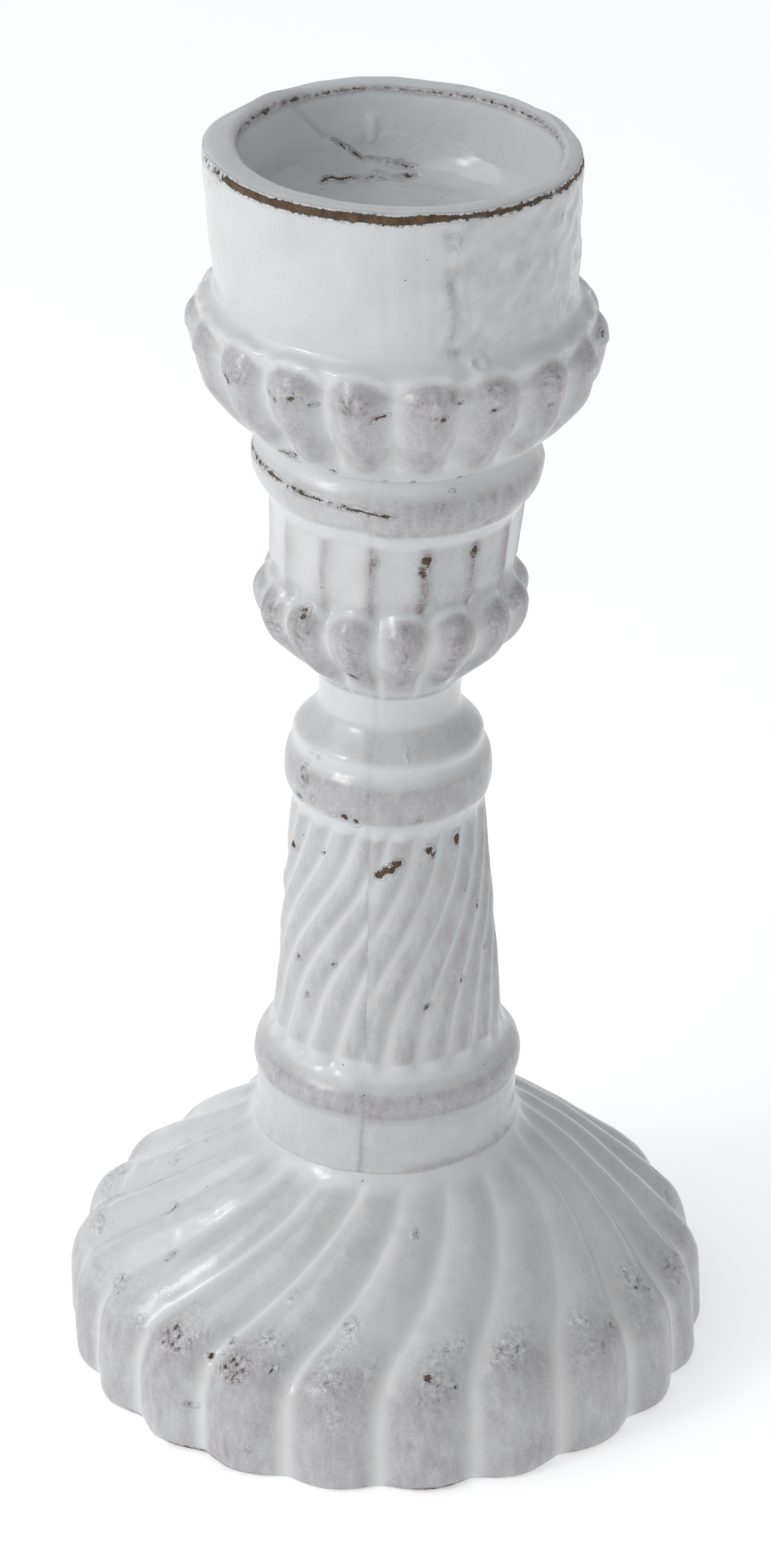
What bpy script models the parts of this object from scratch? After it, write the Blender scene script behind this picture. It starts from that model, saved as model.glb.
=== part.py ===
"""Pressed earthenware candlestick under a milky glaze.

The potter makes it in sections and lutes them together with slip and coils of clay: a hollow foot
with swirling lobes, a stem moulded in two halves, a candle cup moulded in two halves, and the floor
of the cup. The inside is one open hollow, from the underside of the foot to the cup's floor.

Units are metres and +Z is up. The origin is the centre of the ring that the foot stands on. Angles
are measured about +Z from the front, -Y, towards +X.
"""

import math

import bmesh
import bpy
from mathutils import Vector

MM = 0.001

# Room left for slip between any two pieces of clay.
SLIP = 0.3 * MM

# Finishes: a colour and a roughness.
WHITE_GLAZE = ((0.66, 0.68, 0.69), 0.18)
BARE_CLAY = ((0.13, 0.07, 0.035), 0.85)

# Foot: one pressing, open below.
FOOT_RADIUS = 42.3 * MM
FOOT_HEIGHT = 32.7 * MM
FOOT_WALL = 5.2 * MM
FOOT_SKIRT_HEIGHT = 9.8 * MM
FOOT_KNEE_RISE = 3.6 * MM
FOOT_KNEE_DRAW = 2.2 * MM
FOOT_DOME_BELLY = 1.3 * MM
FOOT_SHOULDER_FLARE = 2.0 * MM
FOOT_SHOULDER_DROP = 1.9 * MM
FOOT_LOBES = 22
FOOT_LOBE_DEPTH = 1.6 * MM
FOOT_SWIRL = math.radians(24)
FOOT_GROOVE = math.radians(-1.5)

# Stem, from the foot upwards. Each course has its own height and its own radius. A crest is the
# share of a course's height at which it is widest, and the waist is where the neck is narrowest.
# The curl is the share of the ribs' twist that eases in and out instead of running straight.
STEM_SEAM = math.radians(-11)
STEM_WALL = 4.0 * MM
COLLAR_HEIGHT = 7.1 * MM
COLLAR_RADIUS = 17.0 * MM
LOWER_RING_HEIGHT = 5.7 * MM
LOWER_RING_RADIUS = 17.5 * MM
LOWER_RING_CREST = 0.45
COLUMN_LENGTH = 35.7 * MM
COLUMN_FOOT_RADIUS = 15.1 * MM
COLUMN_HEAD_RADIUS = 12.4 * MM
KNOP_HEIGHT = 8.3 * MM
KNOP_RADIUS = 13.3 * MM
KNOP_CREST = 0.35
KNOP_TOP_RADIUS = 12.1 * MM
NECK_LENGTH = 9.5 * MM
NECK_RADIUS = 9.0 * MM
NECK_WAIST = 0.6
NECK_FLARE = 0.5 * MM
BULB_HEIGHT = 13.1 * MM
BULB_RADIUS = 17.7 * MM
BULB_CREST = 0.78
DRUM_LENGTH = 9.9 * MM
DRUM_RADIUS = 16.2 * MM
UPPER_RING_HEIGHT = 10.2 * MM
UPPER_RING_RADIUS = 18.4 * MM
UPPER_RING_CREST = 0.6
RING_FILLET = 0.4 * MM
RIB_COUNT = 20
RIB_DEPTH = 0.8 * MM
RIB_TWIST = math.radians(60)
RIB_CURL = 0.4
RIB_GROOVE_RIGHT = math.radians(-4)
RIB_GROOVE_LEFT = math.radians(-13)
FLUTE_COUNT = 15
FLUTE_DEPTH = 0.5 * MM
FLUTE_ARRIS = math.radians(-10.7)
BULB_LOBE_DEPTH = 1.3 * MM
BULB_GROOVE = math.radians(-6.7)

# Candle cup: a lobed bowl below and a plain wall above.
CUP_SEAM = math.radians(20)
BOWL_HEIGHT = 17.4 * MM
BOWL_PROUD = 2.9 * MM
BOWL_WALL = 5.2 * MM
BOWL_CREST = 0.73
BOWL_LOBES = 18
BOWL_LOBE_DEPTH = 1.6 * MM
BOWL_GROOVE_RIGHT = math.radians(18.4)
BOWL_GROOVE_LEFT = math.radians(18.9)
CUP_WALL_HEIGHT = 19.8 * MM
CUP_MOUTH_RADIUS = 19.7 * MM
CUP_WALL = 3.7 * MM
CUP_WALL_DRAW = 0.8 * MM
CUP_FLOOR_DRAW = 1.8 * MM
CUP_DEPTH = 11.0 * MM
CUP_RIM_ROUND = 1.1 * MM
FLOOR_THICKNESS = 4.5 * MM
FLOOR_CHAMFER = 1.8 * MM

# Coils of clay pressed into the joints.
FLOOR_COIL_HEIGHT = 2.3 * MM
JOINT_COIL_HEIGHT = 5.2 * MM
JOINT_COIL_THICKNESS = 2.2 * MM

# Steps round the shapes.
STEPS_PER_LOBE = 4
STEM_STEPS_PER_HALF = 45
PLAIN_STEPS_PER_HALF = 20
FOOT_DOME_ROWS = 7
COLUMN_ROWS = 11

# Heights where one course ends and the next begins.
STEM_BOTTOM = FOOT_HEIGHT + SLIP
COLLAR_TOP = STEM_BOTTOM + COLLAR_HEIGHT
LOWER_RING_TOP = COLLAR_TOP + LOWER_RING_HEIGHT
COLUMN_TOP = LOWER_RING_TOP + COLUMN_LENGTH
KNOP_TOP = COLUMN_TOP + KNOP_HEIGHT
NECK_TOP = KNOP_TOP + NECK_LENGTH
BULB_TOP = NECK_TOP + BULB_HEIGHT
DRUM_TOP = BULB_TOP + DRUM_LENGTH
STEM_TOP = DRUM_TOP + UPPER_RING_HEIGHT
CUP_BOTTOM = STEM_TOP + SLIP
BOWL_TOP = CUP_BOTTOM + BOWL_HEIGHT
RIM = BOWL_TOP + CUP_WALL_HEIGHT
FLOOR_TOP = RIM - CUP_DEPTH
FLOOR_BOTTOM = FLOOR_TOP - FLOOR_THICKNESS

# Bores that the joint coils lie in: the same on both sides of each joint.
LOWER_BORE = COLLAR_RADIUS - STEM_WALL
UPPER_BORE = UPPER_RING_RADIUS - STEM_WALL

# Radii and heights that follow from a neighbour's.
FOOT_KNEE_HEIGHT = FOOT_SKIRT_HEIGHT + FOOT_KNEE_RISE
FOOT_SHOULDER_HEIGHT = FOOT_HEIGHT - FOOT_SHOULDER_DROP
FOOT_SHOULDER_RADIUS = COLLAR_RADIUS + FOOT_SHOULDER_FLARE
CUP_RADIUS = CUP_MOUTH_RADIUS + CUP_WALL
CUP_FLOOR_RADIUS = CUP_MOUTH_RADIUS - CUP_FLOOR_DRAW
BOWL_RADIUS = CUP_RADIUS + BOWL_PROUD


def clear_scene():
    for thing in list(bpy.data.objects):
        bpy.data.objects.remove(thing)


def finished(name, finish):
    """The piece's own material, from a finish: a colour and a roughness."""
    colour, roughness = finish
    material = bpy.data.materials.new(name)
    material.use_nodes = True
    shader = material.node_tree.nodes["Principled BSDF"]
    shader.inputs["Base Color"].default_value = (*colour, 1)
    shader.inputs["Roughness"].default_value = roughness
    shader.inputs["Metallic"].default_value = 0
    material.diffuse_color = (*colour, 1)
    return material


def add_object(name, bm, finish):
    bmesh.ops.recalc_face_normals(bm, faces=bm.faces)
    mesh = bpy.data.meshes.new(name)
    bm.to_mesh(mesh)
    bm.free()
    mesh.materials.append(finished(name, finish))
    mesh.shade_smooth()
    mesh.set_sharp_from_angle(angle=math.radians(50))
    made = bpy.data.objects.new(name, mesh)
    bpy.context.scene.collection.objects.link(made)
    return made


# Outlines are lists of (height, radius), from the bottom up.


def swell_out(low, high, steps):
    """A quarter ellipse that leaves `low` outwards and reaches `high` running upwards."""
    for step in range(steps + 1):
        turn = math.pi / 2 * step / steps
        yield (
            high[0] + (low[0] - high[0]) * math.cos(turn),
            low[1] + (high[1] - low[1]) * math.sin(turn),
        )


def swell_in(low, high, steps):
    """A quarter ellipse that leaves `low` running upwards and reaches `high` inwards."""
    for step in range(1, steps + 1):
        turn = math.pi / 2 * step / steps
        yield (
            low[0] + (high[0] - low[0]) * math.sin(turn),
            high[1] + (low[1] - high[1]) * math.cos(turn),
        )


def between(start, end, share):
    return start + (end - start) * share


def ease(share):
    """0 to 1 with a slow start and a slow end."""
    share = min(max(share, 0), 1)
    return share * share * (3 - 2 * share)


# A relief gives how far the surface lies below its crests at an angle.


def plain(_angle):
    return 0.0


def lobes(count, depth, groove):
    """Round lobes with a narrow groove at the angle `groove`."""
    return lambda angle: depth * (1 - abs(math.sin(count * (angle - groove) / 2)))


def flutes(count, depth, arris):
    """Hollow panels that meet in sharp arrises, one of them at the angle `arris`."""
    return lambda angle: depth * abs(math.sin(count * (angle - arris) / 2))


def ribs(count, depth, groove):
    """Waves as round below as above."""
    return lambda angle: depth * (1 + math.cos(count * (angle - groove))) / 2


def point(radius, angle, height):
    return Vector((radius * math.sin(angle), -radius * math.cos(angle), height))


def half_shell(name, seam, outer, inner, outer_turns, inner_turns, finish):
    """Half of a hollow body, from the angle `seam` through half a turn.

    outer holds (height, radius, relief) and inner holds (height, radius), both from the bottom up.
    The two edges lie half a slip joint off the seam's plane.
    """
    along, away = point(1, seam, 0), point(1, seam + math.pi / 2, 0)
    bm = bmesh.new()

    def row(height, radius, relief, turns):
        made = []
        for turn in turns:
            reach = radius - relief(seam + turn)
            spot = along * reach * math.cos(turn) + away * max(reach * math.sin(turn), SLIP / 2)
            made.append(bm.verts.new((spot.x, spot.y, height)))
        return made

    outside = [row(height, radius, relief, outer_turns) for height, radius, relief in outer]
    inside = [row(height, radius, plain, inner_turns) for height, radius in inner]
    for rows in (outside, inside):
        for low, high in zip(rows, rows[1:]):
            for k in range(len(low) - 1):
                bm.faces.new((low[k], low[k + 1], high[k + 1], high[k]))
    for side in (0, -1):
        bm.faces.new([r[side] for r in outside] + [r[side] for r in reversed(inside)])
    for end in (0, -1):
        bm.faces.new(outside[end] + inside[end][::-1])
    return add_object(name, bm, finish)


def turned(name, outline, finish, steps=2 * PLAIN_STEPS_PER_HALF):
    """A closed outline of (height, radius) spun about the axis. Radius 0 closes on the axis."""
    bm = bmesh.new()
    corners = [bm.verts.new((radius, 0, height)) for height, radius in outline]
    edges = [bm.edges.new(pair) for pair in zip(corners, corners[1:])]
    if outline[0][1] > 0:
        edges.append(bm.edges.new((corners[-1], corners[0])))
    bmesh.ops.spin(
        bm,
        geom=corners + edges,
        cent=(0, 0, 0),
        axis=(0, 0, 1),
        angle=math.tau,
        steps=steps,
        use_merge=True,
    )
    bmesh.ops.remove_doubles(bm, verts=bm.verts, dist=0.001 * MM)
    return add_object(name, bm, finish)


def in_facets(radius):
    """The largest round that turns inside a plain bore of this radius, with slip all round."""
    return radius * math.cos(math.pi / (2 * PLAIN_STEPS_PER_HALF)) - SLIP


def foot_row(height):
    """(crest radius, lobe depth, swirl) of the foot's outside at a height."""
    if height <= FOOT_SKIRT_HEIGHT:
        return FOOT_RADIUS, FOOT_LOBE_DEPTH, 0
    knee_radius = FOOT_RADIUS - FOOT_KNEE_DRAW
    share = (height - FOOT_KNEE_HEIGHT) / (FOOT_SHOULDER_HEIGHT - FOOT_KNEE_HEIGHT)
    radius = between(knee_radius, FOOT_SHOULDER_RADIUS, share)
    radius += FOOT_DOME_BELLY * math.sin(math.pi * share)
    return radius, FOOT_LOBE_DEPTH * (1 - ease(share)), FOOT_SWIRL * ease(share)


def build_foot(finish):
    """A hollow dome whose lobes run straight up the skirt and then swirl in to the stem."""
    heights = [0, FOOT_SKIRT_HEIGHT]
    for k in range(FOOT_DOME_ROWS):
        share = k / (FOOT_DOME_ROWS - 1)
        heights.append(between(FOOT_KNEE_HEIGHT, FOOT_SHOULDER_HEIGHT, share))
    steps = FOOT_LOBES * STEPS_PER_LOBE
    bm = bmesh.new()

    def ring(height, radius, relief, swirl, count):
        made = []
        for k in range(count):
            turn = FOOT_GROOVE + math.tau * k / count
            spot = point(radius - relief(turn), turn + swirl, height)
            made.append(bm.verts.new(spot))
        return made

    outside = []
    for height in heights:
        radius, depth, swirl = foot_row(height)
        relief = lobes(FOOT_LOBES, depth, FOOT_GROOVE)
        outside.append(ring(height, radius, relief, swirl, steps))
    outside.append(ring(FOOT_HEIGHT, COLLAR_RADIUS + SLIP, plain, FOOT_SWIRL, steps))

    hollow_radius = FOOT_RADIUS - FOOT_WALL
    spring = FOOT_SKIRT_HEIGHT - FOOT_WALL / 4
    ceiling = FOOT_HEIGHT - FOOT_WALL * 0.8
    haunch = between(spring, ceiling, 0.4)
    hollow = [
        (0, hollow_radius),
        (spring, hollow_radius),
        (haunch, between(hollow_radius, LOWER_BORE, 0.4)),
        (ceiling, LOWER_BORE),
        (FOOT_HEIGHT, LOWER_BORE),
    ]
    inside = [
        ring(height, radius, plain, FOOT_SWIRL * ease(height / FOOT_HEIGHT), steps // 2)
        for height, radius in hollow
    ]
    for rows in (outside, inside):
        for low, high in zip(rows, rows[1:]):
            for k in range(len(low)):
                n = (k + 1) % len(low)
                bm.faces.new((low[k], low[n], high[n], high[k]))
    # The standing ring and the ledge under the collar: one flat face for each pair of steps.
    for end in (0, -1):
        outer, inner = outside[end], inside[end]
        for k in range(len(inner)):
            n = (k + 1) % len(inner)
            far = (2 * k + 2) % len(outer)
            bm.faces.new((outer[2 * k], outer[2 * k + 1], outer[far], inner[n], inner[k]))
    return add_object("foot", bm, finish)


def column_rows(rib_groove):
    """A tapered column whose ribs climb to the right and die away at both ends."""
    for k in range(COLUMN_ROWS):
        share = k / (COLUMN_ROWS - 1)
        depth = RIB_DEPTH * min(1, 4 * share, 4 * (1 - share))
        groove = rib_groove + RIB_TWIST * between(share, ease(share), RIB_CURL)
        height = between(LOWER_RING_TOP + RING_FILLET, COLUMN_TOP - RING_FILLET, share)
        radius = between(COLUMN_FOOT_RADIUS, COLUMN_HEAD_RADIUS, share)
        yield height, radius, ribs(RIB_COUNT, depth, groove)


def bulb_rows():
    """A lobed bulb that closes in under the drum."""
    crest = (between(NECK_TOP, BULB_TOP, BULB_CREST), BULB_RADIUS)
    under_drum = (BULB_TOP, DRUM_RADIUS - FLUTE_DEPTH)
    outline = list(swell_out((NECK_TOP, NECK_RADIUS + NECK_FLARE), crest, 5))
    outline += list(swell_in(crest, under_drum, 3))[:-1]
    for height, radius in outline:
        share = (radius - NECK_RADIUS) / (BULB_RADIUS - NECK_RADIUS)
        yield height, radius, lobes(FLUTE_COUNT, BULB_LOBE_DEPTH * ease(share), BULB_GROOVE)


def stem_outside(rib_groove):
    """The stem's courses, each with the relief that its part of the mould has. The ribs of the two
    moulds don't quite meet, so each has its own groove."""
    rows = [(STEM_BOTTOM, COLLAR_RADIUS, plain), (COLLAR_TOP, COLLAR_RADIUS, plain)]

    crest = (between(COLLAR_TOP, LOWER_RING_TOP, LOWER_RING_CREST), LOWER_RING_RADIUS)
    ring_top = (LOWER_RING_TOP, COLUMN_FOOT_RADIUS + RING_FILLET)
    rows += [(z, r, plain) for z, r in (crest, *swell_in(crest, ring_top, 3))]

    rows += column_rows(rib_groove)

    crest = (between(COLUMN_TOP, KNOP_TOP, KNOP_CREST), KNOP_RADIUS)
    knop = list(swell_out((COLUMN_TOP, COLUMN_HEAD_RADIUS), crest, 2))
    knop += swell_in(crest, (KNOP_TOP, KNOP_TOP_RADIUS), 3)
    waist = between(KNOP_TOP, NECK_TOP, NECK_WAIST)
    cove = (between(KNOP_TOP, waist, 0.35), between(NECK_RADIUS, KNOP_TOP_RADIUS, 0.4))
    rows += [(z, r, plain) for z, r in (*knop, cove, (waist, NECK_RADIUS))]

    rows += bulb_rows()

    drum = flutes(FLUTE_COUNT, FLUTE_DEPTH, FLUTE_ARRIS)
    rows.append((BULB_TOP, DRUM_RADIUS, drum))
    rows.append((DRUM_TOP - RING_FILLET, DRUM_RADIUS, drum))

    crest = (between(DRUM_TOP, STEM_TOP, UPPER_RING_CREST), UPPER_RING_RADIUS)
    crease = (between(DRUM_TOP, crest[0], 0.4), DRUM_RADIUS + RING_FILLET)
    ring = [(DRUM_TOP + RING_FILLET, DRUM_RADIUS), *swell_out(crease, crest, 2)]
    ring += swell_in(crest, (STEM_TOP, UPPER_RING_RADIUS - 2 * RING_FILLET), 2)
    rows += [(z, r, plain) for z, r in ring]
    return rows


def stem_inside():
    """The bore follows the courses, one wall in from them."""
    bore_foot = COLUMN_FOOT_RADIUS - STEM_WALL
    bore_head = COLUMN_HEAD_RADIUS - STEM_WALL
    bore_neck = NECK_RADIUS - STEM_WALL
    bore_bulb = BULB_RADIUS - STEM_WALL - BULB_LOBE_DEPTH
    bore_drum = DRUM_RADIUS - STEM_WALL
    return [
        (STEM_BOTTOM, LOWER_BORE),
        (between(COLLAR_TOP, LOWER_RING_TOP, 0.2), LOWER_BORE),
        (LOWER_RING_TOP + STEM_WALL / 2, bore_foot),
        (COLUMN_TOP, bore_head),
        (KNOP_TOP, bore_neck + NECK_FLARE),
        (between(KNOP_TOP, NECK_TOP, NECK_WAIST), bore_neck),
        (NECK_TOP + STEM_WALL * 0.4, bore_neck + NECK_FLARE),
        (between(NECK_TOP, BULB_TOP, 0.7), bore_bulb),
        (BULB_TOP, bore_drum),
        (DRUM_TOP, bore_drum),
        (between(DRUM_TOP, STEM_TOP, 0.45), UPPER_BORE),
        (STEM_TOP, UPPER_BORE),
    ]


def cup_turns(start, groove):
    """Steps round half of the cup from the angle `start`: every groove and every crest of its
    lobes has one."""
    step = math.tau / BOWL_LOBES / STEPS_PER_LOBE
    first = (groove - start) % step
    turns = [first + step * k for k in range(math.ceil(math.pi / step))]
    narrowest = step / 8
    return [0, *[turn for turn in turns if narrowest < turn < math.pi - narrowest], math.pi]


def cup_outside(groove):
    """The lobed bowl, the plain wall and the rounded outer edge of the rim. The lobes of the two
    moulds don't quite meet, so each has its own groove."""
    crest = (between(CUP_BOTTOM, BOWL_TOP, BOWL_CREST), BOWL_RADIUS)
    foot_radius = UPPER_RING_RADIUS - 2 * RING_FILLET
    wall_radius = CUP_RADIUS - CUP_WALL_DRAW
    bowl = list(swell_out((CUP_BOTTOM, foot_radius), crest, 6))
    bowl += list(swell_in(crest, (BOWL_TOP, wall_radius), 3))[:-1]
    rows = []
    for height, radius in bowl:
        share = (radius - foot_radius) / (BOWL_RADIUS - foot_radius)
        depth = BOWL_LOBE_DEPTH * ease(1.6 * share)
        rows.append((height, radius, lobes(BOWL_LOBES, depth, groove)))
    rim_side = (RIM - CUP_RIM_ROUND, CUP_RADIUS)
    rim = swell_in(rim_side, (RIM, CUP_RADIUS - CUP_RIM_ROUND), 2)
    rows += [(z, r, plain) for z, r in ((BOWL_TOP, wall_radius), rim_side, *rim)]
    return rows


def cup_inside():
    """The hollow of the bowl, the seat of the floor and the tapered candle cup."""
    crest = between(CUP_BOTTOM, BOWL_TOP, BOWL_CREST)
    hollow_radius = BOWL_RADIUS - BOWL_WALL
    haunch = between(CUP_BOTTOM, crest, 0.6)
    return [
        (CUP_BOTTOM, UPPER_BORE),
        (CUP_BOTTOM + JOINT_COIL_HEIGHT / 2, UPPER_BORE),
        (haunch, between(UPPER_BORE, hollow_radius, 0.7)),
        (crest, hollow_radius),
        (FLOOR_BOTTOM - SLIP, CUP_FLOOR_RADIUS),
        (FLOOR_TOP, CUP_FLOOR_RADIUS),
        (RIM - CUP_RIM_ROUND, CUP_MOUTH_RADIUS),
        (RIM - CUP_RIM_ROUND / 3, CUP_MOUTH_RADIUS + CUP_RIM_ROUND / 3),
        (RIM, CUP_MOUTH_RADIUS + CUP_RIM_ROUND),
    ]


def build_floor(finish):
    """A disc of clay, chamfered round its top so that a coil can bite."""
    radius = in_facets(CUP_FLOOR_RADIUS)
    outline = [
        (FLOOR_BOTTOM, 0),
        (FLOOR_BOTTOM, radius),
        (FLOOR_TOP - FLOOR_CHAMFER, radius),
        (FLOOR_TOP, radius - FLOOR_CHAMFER),
        (FLOOR_TOP, 0),
    ]
    return turned("cup_floor", outline, finish)


def build_floor_coil(finish):
    """The coil in the corner of floor and wall, smeared to a hollow face. Nothing of it lies over
    the flat of the floor."""
    taper = CUP_FLOOR_DRAW / (CUP_DEPTH - CUP_RIM_ROUND)
    wall_low = in_facets(CUP_FLOOR_RADIUS)
    wall_high = in_facets(CUP_FLOOR_RADIUS + taper * FLOOR_COIL_HEIGHT)
    toe = wall_low - FLOOR_CHAMFER + SLIP * math.sqrt(2)
    heel_height = FLOOR_TOP - FLOOR_CHAMFER + SLIP * math.sqrt(2)
    middle = between(toe, wall_high, 0.4)
    outline = [
        (FLOOR_TOP, toe),
        (heel_height, wall_low),
        (FLOOR_TOP, wall_low),
        (FLOOR_TOP + FLOOR_COIL_HEIGHT, wall_high),
        (FLOOR_TOP + FLOOR_COIL_HEIGHT * 0.35, middle),
    ]
    return turned("cup_floor_coil", outline, finish)


def build_joint_coil(name, joint_height, bore, finish):
    """A half-round coil pressed over a joint from inside."""
    back = in_facets(bore)
    reach = JOINT_COIL_HEIGHT / 2
    outline = [(joint_height - reach, back), (joint_height + reach, back)]
    sides = 6
    for k in range(1, sides):
        turn = math.pi * k / sides
        height = joint_height + reach * math.cos(turn)
        outline.append((height, back - JOINT_COIL_THICKNESS * math.sin(turn)))
    return turned(name, outline, finish)


def even_turns(steps):
    return [math.pi * k / steps for k in range(steps + 1)]


def main():
    clear_scene()
    plain_turns = even_turns(PLAIN_STEPS_PER_HALF)

    build_foot(WHITE_GLAZE)
    build_joint_coil("foot_joint_coil", FOOT_HEIGHT + SLIP / 2, LOWER_BORE, BARE_CLAY)

    turns = even_turns(STEM_STEPS_PER_HALF)
    for side, start, groove in (
        ("right", STEM_SEAM, RIB_GROOVE_RIGHT),
        ("left", STEM_SEAM + math.pi, RIB_GROOVE_LEFT),
    ):
        name = f"stem_shell_{side}"
        outer = stem_outside(groove)
        half_shell(name, start, outer, stem_inside(), turns, plain_turns, WHITE_GLAZE)
    build_joint_coil("bowl_joint_coil", STEM_TOP + SLIP / 2, UPPER_BORE, BARE_CLAY)

    for side, start, groove in (
        ("right", CUP_SEAM, BOWL_GROOVE_RIGHT),
        ("left", CUP_SEAM + math.pi, BOWL_GROOVE_LEFT),
    ):
        name = f"cup_shell_{side}"
        turns = cup_turns(start, groove)
        outer = cup_outside(groove)
        half_shell(name, start, outer, cup_inside(), turns, plain_turns, WHITE_GLAZE)
    build_floor(WHITE_GLAZE)
    build_floor_coil(WHITE_GLAZE)


main()
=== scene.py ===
"""Milk-glazed earthenware candlestick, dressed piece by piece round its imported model.

Lengths in the sections are millimetres. Angles run about +Z from the front, -Y, towards +X, in
radians unless they are called degrees.
"""
import math

import bpy
import numpy as np
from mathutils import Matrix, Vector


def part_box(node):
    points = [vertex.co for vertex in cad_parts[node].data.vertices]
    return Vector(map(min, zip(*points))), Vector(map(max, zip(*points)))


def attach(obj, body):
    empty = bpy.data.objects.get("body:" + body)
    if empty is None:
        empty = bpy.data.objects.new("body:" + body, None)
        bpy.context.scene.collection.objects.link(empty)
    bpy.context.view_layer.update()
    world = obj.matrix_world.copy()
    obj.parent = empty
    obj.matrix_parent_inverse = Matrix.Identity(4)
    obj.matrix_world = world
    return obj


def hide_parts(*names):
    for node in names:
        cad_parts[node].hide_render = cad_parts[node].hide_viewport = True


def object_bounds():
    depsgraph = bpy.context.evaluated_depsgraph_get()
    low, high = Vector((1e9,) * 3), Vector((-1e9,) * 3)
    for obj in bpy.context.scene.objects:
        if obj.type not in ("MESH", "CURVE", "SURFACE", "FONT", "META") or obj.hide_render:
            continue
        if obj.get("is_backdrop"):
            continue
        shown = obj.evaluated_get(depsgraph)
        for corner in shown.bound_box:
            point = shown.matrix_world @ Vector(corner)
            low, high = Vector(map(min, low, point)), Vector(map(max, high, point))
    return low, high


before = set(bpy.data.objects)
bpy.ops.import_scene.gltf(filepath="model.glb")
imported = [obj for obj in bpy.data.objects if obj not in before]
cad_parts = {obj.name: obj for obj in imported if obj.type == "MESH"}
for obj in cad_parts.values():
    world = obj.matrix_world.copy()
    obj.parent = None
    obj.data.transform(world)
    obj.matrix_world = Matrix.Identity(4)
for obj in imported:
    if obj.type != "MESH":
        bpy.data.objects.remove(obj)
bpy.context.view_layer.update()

# ---- Foot ----
# A hollow dome of brown earthenware, pressed over a mould with 22 lobes that run up the skirt and
# swirl in to the stem. It was dipped in milky tin glaze, which pools white in the grooves and lies
# thin and grey on the crests, and breaks to bare clay where it crawled or wore.

MM = 0.001

# How far apart the rows of points lie on a face that shows and on a hidden one, and how deep a
# worn spot is sunk into the glaze.
SHOWN_STEP = 0.45
FOOT_HIDDEN_STEP = 1.4
WEAR_DEPTH = 0.12

FOOT_OUTSIDE = [
    (0, 41.3), (0.3, 41.9), (1.1, 42.25), (3, 42.3), (6.5, 42.2), (9.6, 42.0), (12, 41.4),
    (13.9, 40.5), (15.6, 39), (18, 36.2), (20.5, 33.2), (23, 30.2), (25.5, 27.2), (28, 24),
    (29.8, 21.4), (31, 19.5), (31.8, 18.4), (32.5, 17.7), (33.2, 17.3),
]
FOOT_INSIDE = [
    (33.1, 15), (32.9, 13.4), (31.5, 13), (29, 13.4), (27.4, 15.4), (23, 20.5), (16.5, 27.6),
    (11.5, 33.2), (8, 36.2), (4.5, 37), (1, 37.2), (0.2, 37.5), (0, 38.3), (0, 39),
]
FOOT_LOBES = 22
FOOT_PITCH = math.tau / FOOT_LOBES
FOOT_GROOVE = math.radians(-1.8)
FOOT_SWIRL = math.radians(1.55)
FOOT_SWIRL_START = 16
FOOT_TURNS = 520
FOOT_EDGE = 39.5

# Where the lobes were pulled askew in the press: middle, half width and shift, in radians.
FOOT_WARPS = [(0.96, 0.61, math.radians(4.5)), (-0.85, 0.5, math.radians(-2))]

# Heights up the foot, and how deep its grooves lie under the crests there.
FOOT_GROOVE_HEIGHTS = [0, 9, 15, 20, 25, 29, 31, 32.4]
FOOT_GROOVE_DEPTHS = [1.7, 1.75, 1.9, 1.6, 1.25, 0.9, 0.5, 0]


def smooth_line(spots, step):
    """A smooth line through (height, radius) spots, cut into even steps."""
    spots = np.array(spots, float)
    knots = np.append(0, np.cumsum(np.sqrt(np.hypot(*np.diff(spots, axis=0).T))))
    slopes = np.gradient(spots, knots, axis=0)
    fine = np.linspace(0, knots[-1], 40 * len(spots))
    k = np.clip(np.searchsorted(knots, fine, side="right") - 1, 0, len(spots) - 2)
    span = (knots[k + 1] - knots[k])[:, None]
    part = (fine - knots[k])[:, None] / span
    line = spots[k] * (1 + 2 * part) * (1 - part) ** 2
    line += spots[k + 1] * part**2 * (3 - 2 * part)
    line += slopes[k] * span * part * (1 - part) ** 2
    line -= slopes[k + 1] * span * part**2 * (1 - part)
    run = np.append(0, np.cumsum(np.hypot(*np.diff(line, axis=0).T)))
    even = np.linspace(0, run[-1], max(2, round(run[-1] / step)))
    return np.stack([np.interp(even, run, line[:, side]) for side in (0, 1)], axis=1)


def ease(share):
    """0 to 1 with a slow start and a slow end."""
    share = np.clip(share, 0, 1)
    return share * share * (3 - 2 * share)


def within(value, low, high, soft):
    """1 between low and high, easing to 0 over `soft` outside them."""
    return ease((value - low) / soft + 1) * ease((high - value) / soft + 1)


def hill(away, wide):
    """1 where `away` is 0, falling smoothly to a third at `wide` and to nothing at twice that."""
    return np.exp(-((away / wide) ** 2))


def wrapped(angle):
    """An angle brought to within half a turn of 0."""
    return (angle + math.pi) % math.tau - math.pi


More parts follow.
